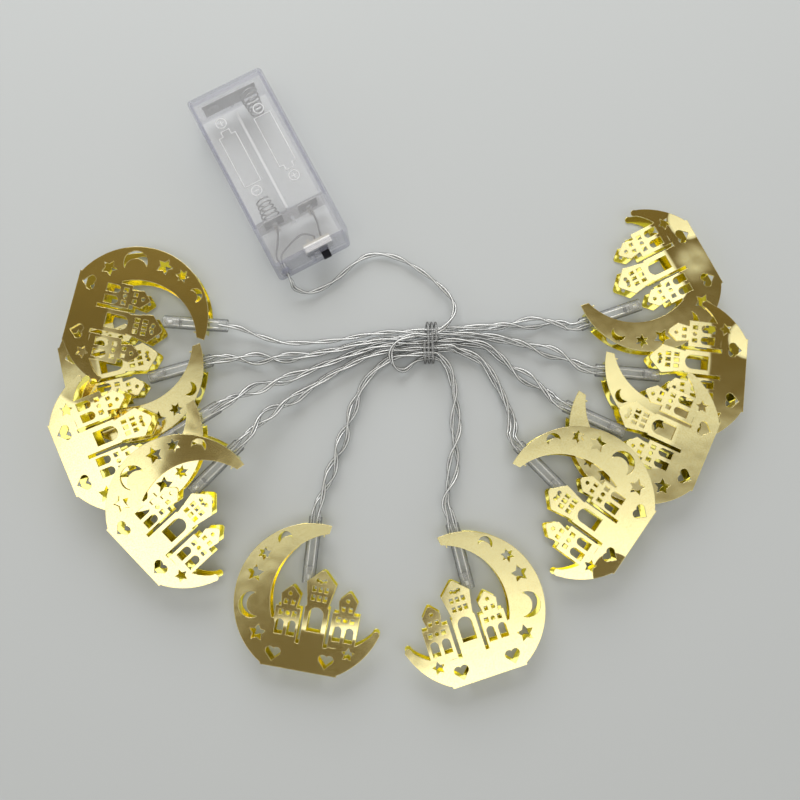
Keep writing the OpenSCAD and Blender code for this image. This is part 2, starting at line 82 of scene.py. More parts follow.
# How each lamp lies: hand -1 is mirrored, and mouth is how far its sleeve stands out of the shell
Lamp = collections.namedtuple("Lamp", "x y turn hand lift tilt mouth sleeve_lean")
POSES = [
    Lamp(15, -111.5, 18, -1, 0, 0, 5, 4),
    Lamp(-49.6, -108.2, -10, 1, 0, 0, 4.2, 4),
    Lamp(61, -68, 54, -1, 1.8, 0, 4, 10),
    Lamp(-101.5, -70.5, -47, 1, 6.2, 8, 5, 2),
    Lamp(89.5, -37.5, 65, 1, 1.2, 0, 4, 0),
    Lamp(-125, -40, -68, -1, 9.6, 8, 9, -10),
    Lamp(105.5, -11.5, 83, 1, 0.6, 0, 4.5, 2),
    Lamp(-128, -11.5, -76, -1, 0, 0, 4, -2),
    Lamp(94, 27, 117, 1, 0, 0, 4.5, -8),
    Lamp(-126.5, 10, -102, 1, 0.6, 0, 9, 8),
]
LAMPS = range(1, len(POSES) + 1)
LAST = LAMPS[-1]
LAMP_T = 9
GRIP_AT = Vector((-4.4, 29.7, LAMP_T / 2))

# The middle of each lamp's leg, from the tie outwards
WAYS = [
    [(9, -13, 2.9), (11, -32, 2.9), (9.5, -54, 2.9), (6.4, -67, 3.6)],
    [(-18, -7, 3), (-29, -18, 2.9), (-37, -40, 2.9), (-44, -60, 3)],
    [(22, -7.5, 3), (30, -20, 2.9), (35, -33, 3)],
    [(-24, -4.2, 3), (-42, -13, 2.9), (-58, -24, 4.4), (-69, -31.5, 9)],
    [(24, -1, 3), (36, -11, 2.9), (49, -20, 3)],
    [(-24, -1.2, 3), (-43, -8, 2.9), (-60, -15, 4.4), (-74, -20.5, 9)],
    [(24, 3.2, 3), (40, 0, 2.9), (56, -5, 3)],
    [(-24, 1.6, 3), (-43, -3, 2.9), (-62, -6, 2.9), (-78, -6.5, 3)],
    [(24, 7.2, 3), (40, 9, 2.9), (54, 9.5, 3)],
    [(-24, 4.6, 3), (-43, 1.4, 2.9), (-62, 0.5, 2.9), (-74, 3.5, 3)],
]

# The twisted length of each leg, and its half turns
TWISTS = [(54, 3), (50, 3), (24, 1), (34, 2), (30, 2), (36, 2), (32, 2), (36, 2), (32, 2), (1, 0)]

# The lead, from the case to the tie
LEAD = [
    (-58.5, 24, 5.4), (-53, 22.8, 3.2), (-46, 25.6, 2.2), (-40, 30, 2.2), (-34, 35.5, 2.2),
    (-28, 39.5, 2.2), (-21, 40.5, 2.2), (-14, 38.8, 2.2), (-7, 35, 2.2), (0, 30, 2.4),
    (6.5, 24, 3), (10.4, 18, 4.4), (10, 12, 6.4), (6, 6.4, 7.6), (0, 3.4, 7.6), (-7, 3, 7.6),
    (-13.6, 0.6, 7.6), (-17, -4.4, 7.4), (-15.6, -10, 5.4), (-11, -11.6, 3), (-6, -7.4, 2.6),
]
CASE_L = 83.5
EXIT = Vector((-13.4, -CASE_L / 2, 8))
EXIT_RUN = (4, 0, -2.4, -5)
CORD_D = 2.2
CORD_IN = 4
MOUTH_RUN = 2
LEG_START = 4
LEG_STEPS = 4
PAIR_CLEAR = 0.14
PAIR_OFF = CORD_D / 2 + PAIR_CLEAR
TWIST_REACH = 2
TWIST_RISE = 0.4
TIE_SPREAD = 0.06
TIE_RISE = 0.09
UPPER_TURN = math.radians(60)
LANE_STEP = 1.3
LANE_LOW = 2.7
LANE_HIGH = 5
LANE_RUN = 9
FIRST_RUN = 3
AXIS_SLOPE = 0.08
UP = Vector((0, 0, 1))


def lamp_matrix(k):
    """From a lamp's own axes to the table's."""
    pose = POSES[k - 1]
    return (Matrix.Translation((pose.x, pose.y, pose.lift))
            @ Matrix.Rotation(math.radians(pose.tilt), 4, "X")
            @ Matrix.Rotation(math.radians(pose.turn), 4, "Z")
            @ Matrix.Scale(pose.hand, 4, (1, 0, 0)))


def on_sleeve(k, out, beside):
    """A place out along a lamp's sleeve from its grip, and beside the sleeve's axis."""
    lean = math.radians(POSES[k - 1].sleeve_lean)
    along = Vector((-math.sin(lean), math.cos(lean), 0))
    across = Vector((math.cos(lean), math.sin(lean), 0))
    return lamp_matrix(k) @ (GRIP_AT + out * along + beside * across)


def lane(i, x):
    """A cord's place in the tie's two rows, at x along the tie."""
    beside = (i - (LAST - 1) / 2) * LANE_STEP
    return Vector((x, beside + AXIS_SLOPE * x, LANE_HIGH if i % 2 else LANE_LOW))


def right_side(k):
    """1 for a lamp to the right of the tie, and -1 for one to its left."""
    return 1 if k % 2 else -1


def exit_run(k):
    """How far along the tie a lamp's cords leave their rows."""
    return right_side(k) * (FIRST_RUN if k == 1 else LANE_RUN)


def bend(a, b, c, d, t):
    """A point between b and c on a smooth curve through a, b, c and d."""
    return (2 * b + (c - a) * t + (2 * a - 5 * b + 4 * c - d) * t * t
            + (3 * b - a - 3 * c + d) * t * t * t) / 2


def curve(points, steps):
    """A smooth curve through the points, with so many steps from each to the next."""
    last = len(points) - 1
    smooth = []
    for i in range(last):
        ends = (points[max(i - 1, 0)], points[i], points[i + 1], points[min(i + 2, last)])
        smooth += [bend(*ends, s / steps) for s in range(steps)]
    return smooth + [points[last]]


def flat_left(way):
    """The level direction to the left of a way."""
    return Vector((-way.y, way.x, 0)).normalized()


def leg_line(k):
    """The middle line of a leg, from outside the sleeve to the tie."""
    middle = lane(k - 1, exit_run(k))
    if k < LAST:
        middle = (middle + lane(k, exit_run(k))) / 2
    way = [Vector(p) for p in reversed(WAYS[k - 1])]
    return curve([on_sleeve(k, POSES[k - 1].mouth + LEG_START, 0)] + way + [middle], LEG_STEPS)


def leg(k, side):
    """One cord of a leg, out from the sleeve: side 1 is the cord to the next lamp, and -1 the one before.

    The last lamp has only the one before, which runs along the middle of its leg.
    """
    line = leg_line(k)
    length, half_turns = TWISTS[k - 1]
    upper = right_side(k) * UPPER_TURN
    pair = 1 if k < LAST else 0
    across = flat_left(line[1] - line[0]) * -right_side(k)
    beside = on_sleeve(k, 0, 1) - on_sleeve(k, 0, 0)
    sign = -1 if beside.dot(across) < 0 else 1
    start = side * pair * PAIR_OFF * sign * math.cos(math.pi * half_turns)
    points = [on_sleeve(k, POSES[k - 1].mouth + s, start) for s in (-CORD_IN, 0, MOUTH_RUN)]
    run = 0
    for i in range(1, len(line) - 1):
        run += (line[i] - line[i - 1]).length
        s = min(run / length, 1)
        turn = upper + (math.pi * half_turns - upper) * (1 - s)
        bulge = math.sin(math.pi * s) ** 2
        reach = pair * (PAIR_OFF + TIE_SPREAD * s + (TWIST_REACH - PAIR_OFF) * bulge)
        rise = pair * (PAIR_OFF + TIE_RISE * s + TWIST_RISE * bulge)
        left = flat_left(line[i + 1] - line[i - 1]) * -right_side(k)
        points.append(line[i] + side * (reach * math.cos(turn) * left + rise * math.sin(turn) * UP))
    return points


def link_route(k):
    """From a lamp through the tie to the next lamp."""
    lanes = [lane(k, exit_run(k)), lane(k, 0), lane(k, exit_run(k + 1))]
    return leg(k, 1) + lanes + leg(k + 1, -1)[::-1]


def lead_route():
    """From the case through the tie to the first lamp."""
    to_table = table.inverted()
    start = [to_table @ ((EXIT + Vector((0, y, 0))) * MM) / MM for y in EXIT_RUN]
    return start + [Vector(p) for p in LEAD] + [lane(0, 0)] + leg(1, -1)[::-1]


class Link:
    """A socket of a node tree, which sums and products extend with Math nodes."""

    def __init__(self, tree, socket=None):
        self.tree = tree
        self.socket = socket

    def node(self, kind, settings=None, values=None, out=0):
        made = self.tree.nodes.new(kind)
        for name, value in (settings or {}).items():
            setattr(made, name, value)
        for name, value in (values or {}).items():
            for part in value if isinstance(value, list) else [value]:
                if isinstance(part, Link):
                    self.tree.links.new(part.socket, made.inputs[name])
                else:
                    made.inputs[name].default_value = part
        return Link(self.tree, made.outputs[out] if made.outputs else None)

    def out(self, name):
        return Link(self.tree, self.socket.node.outputs[name])

    def math(self, operation, *terms):
        return self.node("ShaderNodeMath", {"operation": operation}, dict(enumerate(terms)))

    def vector(self, operation, *terms, out=0):
        return self.node("ShaderNodeVectorMath", {"operation": operation}, dict(enumerate(terms)), out)

    def scaled(self, factor):
        return self.node("ShaderNodeVectorMath", {"operation": "SCALE"}, {0: self, "Scale": factor})

    def mixed(self, first, second):
        """A colour that goes from first to second, each of them a link or a plain colour."""
        ends = [end if isinstance(end, Link) else (*end, 1) for end in (first, second)]
        return self.node("ShaderNodeMix", {"data_type": "RGBA"}, {0: self, 6: ends[0], 7: ends[1]}, out=2)

    def ramp(self, low, high):
        """Nothing up to low, all from high on, and a smooth rise between."""
        return self.node("ShaderNodeMapRange", {"interpolation_type": "SMOOTHSTEP"},
                         {"Value": self, "From Min": low, "From Max": high})

    def __add__(self, other):
        return self.math("ADD", self, other)

    def __sub__(self, other):
        return self.math("SUBTRACT", self, other)

    def __rsub__(self, other):
        return self.math("SUBTRACT", other, self)

    def __mul__(self, other):
        return self.math("MULTIPLY", self, other)

    def __truediv__(self, other):
        return self.math("DIVIDE", self, other)

    def __pow__(self, other):
        return self.math("POWER", self, other)

    __radd__ = __add__
    __rmul__ = __mul__


def shape_tree(name, sockets):
    """A Geometry Nodes tree with these inputs, and the link that it starts from."""
    tree = bpy.data.node_groups.new(name, "GeometryNodeTree")
    for socket, kind in sockets.items():
        tree.interface.new_socket(socket, in_out="INPUT", socket_type=kind)
    tree.interface.new_socket("Shape", in_out="OUTPUT", socket_type="NodeSocketGeometry")
    return tree, Link(tree).node("NodeGroupInput")


def end_tree(shape, finish):
    """Ends a tree with its shape as one smooth mesh in one finish."""
    whole = shape.node("GeometryNodeRealizeInstances", values={0: shape})
    smooth = whole.node("GeometryNodeSetShadeSmooth", values={"Geometry": whole})
    shown = smooth.node("GeometryNodeSetMaterial", values={"Geometry": smooth, "Material": finish})
    shown.node("NodeGroupOutput", values={0: shown})


def kept(name, carrier):
    """What a carrier object's modifiers make of it, as a plain mesh object in its place."""
    scene.collection.objects.link(carrier)
    seen = carrier.evaluated_get(bpy.context.evaluated_depsgraph_get())
    piece = bpy.data.objects.new(name, bpy.data.meshes.new_from_object(seen))
    bpy.data.objects.remove(carrier)
    scene.collection.objects.link(piece)
    return piece


def grown(name, carrier, tree, values):
    """What a tree makes of a carrier object."""
    modifier = carrier.modifiers.new(name, "NODES")
    modifier.node_group = tree
    for item in tree.interface.items_tree:
        if item.in_out == "INPUT" and item.name in values:
            modifier[item.identifier] = values[item.name]
    return kept(name, carrier)


def line_object(name, routes):
    """A curve object with one line of points for each route."""
    data = bpy.data.curves.new(name, "CURVE")
    data.dimensions = "3D"
    for route in routes:
        spline = data.splines.new("POLY")
        spline.points.add(len(route) - 1)
        for point, place in zip(spline.points, route):
            point.co = (*place, 1)
    return bpy.data.objects.new(name, data)


PAIR_SIDES = 8
pair_tree, pair_in = shape_tree("wire_pair", {
    "Route": "NodeSocketGeometry", "Wire": "NodeSocketFloat", "Apart": "NodeSocketFloat",
    "Lay": "NodeSocketFloat", "Finish": "NodeSocketMaterial"})
ring = pair_in.node("GeometryNodeCurvePrimitiveCircle", {"mode": "RADIUS"},
                    {"Resolution": PAIR_SIDES, "Radius": pair_in.out("Wire") / 2})
normal = pair_in.node("GeometryNodeInputNormal")
tangent = pair_in.node("GeometryNodeInputTangent")
binormal = tangent.vector("CROSS_PRODUCT", tangent, normal)
lay_turn = pair_in.node("GeometryNodeSplineParameter", out="Length") * math.tau / pair_in.out("Lay")
wires = []
for half in (0, math.pi):
    turn = lay_turn + half
    aside = normal.scaled(turn.math("COSINE", turn) * pair_in.out("Apart") / 2)
    above = binormal.scaled(turn.math("SINE", turn) * pair_in.out("Apart") / 2)
    moved = aside.node("GeometryNodeSetPosition", values={
        "Geometry": pair_in.out("Route"), "Offset": aside.vector("ADD", aside, above)})
    wires.append(moved.node("GeometryNodeCurveToMesh", values={
        "Curve": moved, "Profile Curve": ring, "Fill Caps": True}))
end_tree(wires[0].node("GeometryNodeJoinGeometry", values={0: wires}), pair_in.out("Finish"))


def new_finish(name):
    """An empty material, and the link that its nodes start from."""
    material = bpy.data.materials.new(name)
    material.use_nodes = True
    material.node_tree.nodes.clear()
    return material, Link(material.node_tree)


def shown_in(material, shader):
    shader.node("ShaderNodeOutputMaterial", values={"Surface": shader})
    return material


def noise(place, scale, detail):
    return place.node("ShaderNodeTexNoise", values={
        "Vector": place, "Scale": scale, "Detail": detail}, out="Fac")


def clear_plastic(name, colour, rim_shade_colour, cover, rim_cover, roughness, grain):
    """Clear plastic: nearly unseen face on and fuller towards its rims, with a faint cloud in it. Its rims
    are painted darker, a painted shade for clear plastic seen edge on.
    """
    material, start = new_finish(name)
    cloud = noise(start.node("ShaderNodeTexCoord", out="Object"), grain, 3.0)
    rim = start.node("ShaderNodeLayerWeight", values={"Blend": 0.5}, out="Facing").ramp(0.1, 0.65)
    bump = start.node("ShaderNodeBump", values={"Strength": 0.05, "Distance": 0.2 * MM, "Height": cloud})
    return shown_in(material, start.node("ShaderNodeBsdfPrincipled", values={
        # Painted shade: the colour darkens towards the rims, where the plastic is seen edge on.
        "Base Color": rim.mixed(colour, rim_shade_colour),
        "Roughness": roughness + 0.1 * cloud,
        "Alpha": cover + (rim_cover - cover) * rim + 0.06 * (cloud - 0.5),
        "IOR": 1.5, "Normal": bump}))


def plated(name, colour, dull_colour, roughness, grain):
    """Bright metal with fine drawing marks and duller spots."""
    material, start = new_finish(name)
    marks = noise(start.node("ShaderNodeTexCoord", out="Object"), grain, 4.0)
    return shown_in(material, start.node("ShaderNodeBsdfPrincipled", values={
        "Base Color": marks.ramp(0.35, 0.7).mixed(colour, dull_colour),
        "Roughness": roughness + 0.2 * (marks - 0.5), "Metallic": 1.0}))


cord_sheath = clear_plastic("cord_sheath", (0.60, 0.61, 0.61), (0.04, 0.045, 0.045),
                            cover=0.04, rim_cover=0.95, roughness=0.08, grain=900)
cord_strands = plated("cord_strands", (0.97, 0.98, 0.97), (0.78, 0.79, 0.79), roughness=0.42, grain=4000)
WIRE_D = 1.08
STRANDS_D = 0.6
WIRE_APART = 1.1
WIRE_LAY = 26
CORD_STEPS = 4

routes = {"lead_cord": lead_route()}
routes |= {f"link_cord_{k}": link_route(k) for k in LAMPS[:-1]}
for name, route in routes.items():
    routes[name] = [table @ (p * MM) for p in curve(route, CORD_STEPS)]
for name, route in routes.items():
    sheath = grown(f"{name}_wires", line_object(name, [route]), pair_tree, {
        "Wire": WIRE_D * MM, "Apart": WIRE_APART * MM, "Lay": WIRE_LAY * MM, "Finish": cord_sheath})
    length = sum((b - a).length for a, b in zip(route, route[1:]))
    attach(sheath, "string")
    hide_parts(name)
strands = grown("cord_strands", line_object("strands", routes.values()), pair_tree, {
    "Wire": STRANDS_D * MM, "Apart": WIRE_APART * MM, "Lay": WIRE_LAY * MM, "Finish": cord_strands})
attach(strands, "string")


# Tie. A length of clear wire wound by hand round the bundle, which holds the legs and the lead's
# fold together.
TIE_D = 1.1
TIE_TURNS = 3
TIE_PITCH = 1.7
TIE_HALF_W = 8.5
TIE_HALF_H = 4.4
TIE_RINGS = 48
TUBE_SIDES = 10

tube_tree, tube_in = shape_tree("round_wire", {
    "Route": "NodeSocketGeometry", "Wire": "NodeSocketFloat", "Finish": "NodeSocketMaterial"})
tube_ring = tube_in.node("GeometryNodeCurvePrimitiveCircle", {"mode": "RADIUS"},
                         {"Resolution": TUBE_SIDES, "Radius": tube_in.out("Wire") / 2})
end_tree(tube_in.node("GeometryNodeCurveToMesh", values={
    "Curve": tube_in.out("Route"), "Profile Curve": tube_ring, "Fill Caps": True}), tube_in.out("Finish"))


def oblong(a, half):
    """One side of a rounded oblong, which the root makes fuller than an ellipse."""
    return math.copysign(half * math.sqrt(abs(a)), a)


tie_route = []
for i in range(TIE_RINGS * TIE_TURNS + 1):
    angle = math.tau * i / TIE_RINGS + math.pi / 2
    along = TIE_PITCH * (i / TIE_RINGS - TIE_TURNS / 2)
    height = TIE_HALF_H + TIE_D / 2 + oblong(math.sin(angle), TIE_HALF_H)
    tie_route.append(table @ (Vector((along, oblong(math.cos(angle), TIE_HALF_W), height)) * MM))
tie_grey = clear_plastic("tie_grey", (0.50, 0.51, 0.51), (0.08, 0.08, 0.08),
                         cover=0.35, rim_cover=0.9, roughness=0.1, grain=900)
tie = grown("tie_wire", line_object("tie", [tie_route]), tube_tree, {"Wire": TIE_D * MM, "Finish": tie_grey})
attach(tie, "string")
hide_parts("bundle_tie")


# Lamp shells. Each is one sheet of thin plate, cut, folded in two and gilt, with its cut edges eased
# by the plating. The sheets aren't quite flat: each leans, bows and ripples in its own way, its castle
# stands a little out of the moon's plane, and some corners and horns are bent, so they shine unevenly.
MOON_R = 31.5
HOLLOW_AT = Vector((10.4, 1.8, LAMP_T))
HOLLOW_R = 27.2
HOLLOW_FADE = 1
CASTLE_FOOT = -14
FOOT_FADE = 3
CASTLE_END = 21.4
END_FADE = 0.6
ROOF_Y = 8
SHEET_T = 0.5
SHEET_EASE = 0.3
SKIN = 0.2
GILT = (0.92, 0.83, 0.43)
GILT_DEEP = (0.90, 0.76, 0.33)
# A painted glint: the yellower gilt of the faces between the plates, standing in for light bounced between
# them.
PAINTED_GLINT_GILT = (1.0, 0.92, 0.24)

# Each sheet's lean on the table's axes, its bow, its castle's lean, and how much of that the roofs have
Sheet = collections.namedtuple("Sheet", "lean bow castle_lean roof_share")
SHEETS = [
    Sheet((0.01, 0.04), 0.05, (0, 0), 1),
    Sheet((0.02, 0.085), 0, (0.02, -0.12), 0),
    Sheet((0.03, 0), 0.04, (0, 0), 1),
    Sheet((0.03, 0.07), 0.03, (0, -0.05), 1),
    Sheet((0, 0.025), -0.07, (0, -0.06), 1),
    Sheet((0, 0.02), 0.04, (0, 0), 1),
    Sheet((0, 0.045), 0, (0, -0.1), 0.3),
    Sheet((0, 0), 0.04, (0, -0.06), 1),
    Sheet((0, -0.01), 0, (0, -0.2), 0.8),
    Sheet((0, 0.04), 0, (0, -0.06), 0.2),
]

# Bent corners and horns, by lamp: all of the lean within full of a place, and none past reach
Crease = collections.namedtuple("Crease", "at full reach lean")
FOOT_END = Vector((15.75, -28, LAMP_T))
FOOT_MIDDLE = Vector((0, -22, LAMP_T))
HORN_END = Vector((12.5, 28.9, LAMP_T))
SMALL_HORN = Vector((29.6, -7, LAMP_T))
CREASES = {
    3: [Crease(FOOT_END, 8, 9.5, (-0.2, 0.05))],
    4: [Crease(HORN_END, 26, 46, (0.06, -0.02))],
    6: [Crease(SMALL_HORN, 11, 13, (0.13, 0.06))],
    7: [Crease(FOOT_END, 7, 9.5, (0, -0.15)), Crease(HORN_END, 26, 44, (0, -0.12))],
    9: [Crease(FOOT_END, 7, 9.5, (0, -0.16)), Crease(FOOT_MIDDLE, 3, 15, (0, -0.06))],
}


def table_way(lean):
    """A lean along the table's axes, in the part's frame."""
    return tuple(table.to_3x3() @ Vector((*lean, 0)))


def gilt(k):
    """Gilt for one lamp: its normals follow the sheet's leans, and between the plates it is painted
    yellower, a painted glint for light bounced between the plates.
    """
    material, start = new_finish(f"gilt_sheet_{k}")
    sheet = SHEETS[k - 1]
    lamp = table @ Matrix.Scale(MM, 4) @ lamp_matrix(k)
    side = (lamp.to_3x3() @ Vector((1, 0, 0))).normalized()
    up = (lamp.to_3x3() @ Vector((0, 1, 0))).normalized()
    place = start.node("ShaderNodeTexCoord", out="Object")
    ripple = noise(place, 60.0, 2.0)
    scuff = noise(place, 2200.0, 4.0)
    from_middle = place.vector("SUBTRACT", place, tuple(lamp.translation))

    def along(axis):
        return from_middle.vector("DOT_PRODUCT", from_middle, tuple(axis), out="Value")

    def away_from(point):
        return place.vector("DISTANCE", place, tuple(lamp @ point), out="Value")

    def leaned(normal, lean, share):
        way = start.node("ShaderNodeCombineXYZ", values=dict(enumerate(table_way(lean))))
        return normal.vector("ADD", normal, way.scaled(share))

    height = along(up)
    castle = (height.ramp(CASTLE_FOOT * MM, (CASTLE_FOOT + FOOT_FADE) * MM)
              * (sheet.roof_share + (1 - sheet.roof_share) * height.ramp(ROOF_Y * MM, CASTLE_FOOT * MM))
              * along(side).ramp((CASTLE_END + END_FADE) * MM, CASTLE_END * MM)
              * away_from(HOLLOW_AT).ramp(HOLLOW_R * MM, (HOLLOW_R - HOLLOW_FADE) * MM))
    rounded = start.node("ShaderNodeBevel", {"samples": 4}, {"Radius": SHEET_EASE * MM})
    rippled = start.node("ShaderNodeBump", values={
        "Strength": 0.2, "Distance": 0.8 * MM, "Height": ripple, "Normal": rounded})
    leaning = rippled.vector("ADD", rippled, table_way(sheet.lean))
    bowed = leaning.vector("ADD", leaning, from_middle.scaled(sheet.bow / (MOON_R * MM)))
    bent = leaned(bowed, sheet.castle_lean, castle)
    for crease in CREASES.get(k, []):
        past_crease = away_from(crease.at).ramp(crease.reach * MM, crease.full * MM)
        bent = leaned(bent, crease.lean, past_crease)

    # The faces between the plates take the yellower gilt: a painted glint for light bounced to and fro
    # between the plates.
    depth = along(side.cross(up))
    from_core = depth.math("ABSOLUTE", depth.math("ABSOLUTE", depth) - LAMP_T / 2 * MM)
    inside = from_core.ramp((LAMP_T / 2 - SKIN) * MM, (LAMP_T / 2 - SHEET_T) * MM)
    return shown_in(material, start.node("ShaderNodeBsdfPrincipled", values={
        "Base Color": inside.mixed(scuff.ramp(0.4, 0.75).mixed(GILT, GILT_DEEP), PAINTED_GLINT_GILT),
        "Metallic": 1.0, "Roughness": 0.06 + 0.14 * scuff, "Normal": bent.vector("NORMALIZE", bent)}))


MERGE = 1e-6
FLAT_TO = math.radians(1)
SMOOTH_TO = math.radians(30)


def dressed(node, ease, body, finish):
    """A merged copy of a CAD node in its finish, which stands for the node, its edges eased if asked."""
    merged = bmesh.new()
    merged.from_mesh(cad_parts[node].data)
    bmesh.ops.remove_doubles(merged, verts=merged.verts, dist=MERGE)
    bmesh.ops.dissolve_limit(merged, angle_limit=FLAT_TO, verts=merged.verts, edges=merged.edges)
    mesh = bpy.data.meshes.new(node)
    merged.to_mesh(mesh)
    merged.free()
    mesh.attributes.remove(mesh.attributes["custom_normal"])
    mesh.shade_smooth()
    mesh.set_sharp_from_angle(angle=SMOOTH_TO)
    mesh.materials.append(finish)
    carrier = bpy.data.objects.new(node, mesh)
    if ease:
        bevel = carrier.modifiers.new("ease", "BEVEL")
        bevel.width = ease * MM
        bevel.segments = 2
        bevel.limit_method = "ANGLE"
        bevel.angle_limit = SMOOTH_TO
        bevel.use_clamp_overlap = False
        bevel.harden_normals = True
    piece = kept(f"{node}_dressed", carrier)
    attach(piece, body)
    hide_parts(node)


for k in LAMPS:
    dressed(f"lamp_shell_{k}", 0, "string", gilt(k))


# Sleeves and lights. A clear tube is gripped in the horn of each shell; in its inner end sits a small
# clear lens on two wire legs, which the cords in its outer end feed.
SLEEVE_L = 27.5
SLEEVE_R = 2.8
SLEEVE_BORE_R = 2.4
SLEEVE_EASE = 0.15
ROUND_SIDES = 32
LENS_R = 1.7
LENS_L = 4
LENS_FIT = 0.05
LENS_RIM_R = SLEEVE_BORE_R - LENS_FIT
LENS_RIM_L = 1.2
DOME_STEPS = 8
LEG_R = 0.3
LEG_IN = 2
LEG_SIDES = 10
CUP_R = 0.8
CUP_L = 1.6
CUP_DIP_R = 0.5
CUP_DIP_SIDE = 0.8
CUP_DIP = 1.2
CUP_SIDES = 16
POLE_MERGE = 1e-7
ROUND_TO = math.radians(40)


def turned(name, profile, sides, closed):
    """A turned mesh from (radius, height) pairs in millimetres, round Z."""
    shape = bmesh.new()
    angles = [math.tau * j / sides for j in range(sides)]
    rings = []
    for r, z in profile:
        rings.append([shape.verts.new((r * MM * math.cos(a), r * MM * math.sin(a), z * MM)) for a in angles])
    for a, b in zip(rings, rings[1:] + rings[:1] if closed else rings[1:]):
        for j in range(sides):
            shape.faces.new((a[j], a[j - 1], b[j - 1], b[j]))
    bmesh.ops.remove_doubles(shape, verts=shape.verts, dist=POLE_MERGE)
    bmesh.ops.recalc_face_normals(shape, faces=shape.faces)
    mesh = bpy.data.meshes.new(name)
    shape.to_mesh(mesh)
    shape.free()
    mesh.set_sharp_from_angle(angle=ROUND_TO)
    return bpy.data.objects.new(name, mesh)


sleeve_tree, sleeve_in = shape_tree("on_each_sleeve", {
    "Sleeves": "NodeSocketGeometry", "Piece": "NodeSocketObject", "Finish": "NodeSocketMaterial"})
aim = sleeve_in.node("GeometryNodeInputNamedAttribute", {"data_type": "FLOAT_VECTOR"}, {"Name": "aim"})
part = sleeve_in.node("GeometryNodeObjectInfo", values={"Object": sleeve_in.out("Piece")}, out="Geometry")
end_tree(sleeve_in.node("GeometryNodeInstanceOnPoints", values={
    "Points": sleeve_in.out("Sleeves"), "Instance": part, "Rotation": aim}), sleeve_in.out("Finish"))


def on_each_sleeve(name, piece, finish):
    """A piece that stands along Z, set into the inner end of every sleeve."""
    places = [table @ (on_sleeve(k, POSES[k - 1].mouth - SLEEVE_L, 0) * MM) for k in LAMPS]
    points = bpy.data.meshes.new(f"{name}_points")
    points.from_pydata(places, [], [])
    aims = points.attributes.new("aim", "FLOAT_VECTOR", "POINT")
    for k in LAMPS:
        out = (table.to_3x3() @ (on_sleeve(k, 1, 0) - on_sleeve(k, 0, 0))).normalized()
        beside = (table.to_3x3() @ (on_sleeve(k, 0, 1) - on_sleeve(k, 0, 0))).normalized()
        axes = Matrix((beside, out.cross(beside), out)).transposed()
        aims.data[k - 1].vector = axes.to_euler("XYZ")
    made = grown(name, bpy.data.objects.new(name, points), sleeve_tree, {"Piece": piece, "Finish": finish})
    bpy.data.objects.remove(piece)
    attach(made, "string")
    return made


sleeve_clear = clear_plastic("sleeve_clear", (0.80, 0.82, 0.82), (0.14, 0.15, 0.15),
                             cover=0.05, rim_cover=0.75, roughness=0.06, grain=300)
lens_clear = clear_plastic("lens_clear", (0.90, 0.90, 0.87), (0.40, 0.40, 0.38),
                           cover=0.25, rim_cover=0.8, roughness=0.05, grain=500)
leg_metal = plated("leg_metal", (0.95, 0.95, 0.93), (0.70, 0.70, 0.69), roughness=0.3, grain=3000)

sleeve_wall = [
    (SLEEVE_BORE_R, SLEEVE_EASE), (SLEEVE_BORE_R + SLEEVE_EASE, 0), (SLEEVE_R - SLEEVE_EASE, 0),
    (SLEEVE_R, SLEEVE_EASE), (SLEEVE_R, SLEEVE_L - SLEEVE_EASE), (SLEEVE_R - SLEEVE_EASE, SLEEVE_L),
    (SLEEVE_BORE_R + SLEEVE_EASE, SLEEVE_L), (SLEEVE_BORE_R, SLEEVE_L - SLEEVE_EASE)]
sleeve = turned("sleeve", sleeve_wall, ROUND_SIDES, closed=True)
sleeves = on_each_sleeve("lamp_sleeves", sleeve, sleeve_clear)
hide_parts(*(f"lamp_sleeve_{k}" for k in LAMPS))

dome_angles = [math.pi / 2 * i / DOME_STEPS for i in range(DOME_STEPS + 1)]
dome = [(LENS_R * math.sin(a), LENS_R - LENS_R * math.cos(a)) for a in dome_angles]
lens_end = LENS_R + LENS_L
lens_wall = dome + [
    (LENS_R, lens_end), (LENS_RIM_R, lens_end), (LENS_RIM_R, lens_end + LENS_RIM_L),
    (0, lens_end + LENS_RIM_L)]
lens = turned("lens", lens_wall, ROUND_SIDES, closed=False)
lenses = on_each_sleeve("lamp_lenses", lens, lens_clear)
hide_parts(*(f"lamp_light_{k}" for k in LAMPS))

leg_foot = lens_end - LEG_IN
leg_end = SLEEVE_L - CORD_IN
leg_wall = [(0, leg_foot), (LEG_R, leg_foot), (LEG_R, leg_end), (0, leg_end)]
cup_wall = [
    (0, LENS_R + CUP_DIP), (CUP_DIP_R, LENS_R + CUP_DIP_SIDE), (CUP_R, LENS_R), (CUP_R, LENS_R + CUP_L),
    (0, LENS_R + CUP_L)]
legs = turned("legs", leg_wall, LEG_SIDES, closed=False)
cup = turned("cup", cup_wall, CUP_SIDES, closed=False)
both = bmesh.new()
for x in (-PAIR_OFF, PAIR_OFF):
    legs.data.transform(Matrix.Translation((x * MM, 0, 0)))
    both.from_mesh(legs.data)
    legs.data.transform(Matrix.Translation((-x * MM, 0, 0)))
both.from_mesh(cup.data)
both.to_mesh(legs.data)
both.free()
bpy.data.objects.remove(cup)
light_legs = on_each_sleeve("light_legs", legs, leg_metal)


# Battery case. A clear moulded tray for two cells, with a sliding cover over the cell bays, a glued
# deck over the switch room, and a soft grommet where the lead comes out.
CASE_EASE = 0.3
GROMMET_EASE = 0.15
CASE_W = 35.5
WALL_SEEN = 2.0
RIB_HALF_W = 0.6
RIB_SIDE_FADE = 0.2
RIB_FOOT = 2.2
RIB_TOP = 7
RIB_FADE = 0.4
RIB_COVER = 0.5
SHADOW_LOSS = 0.75


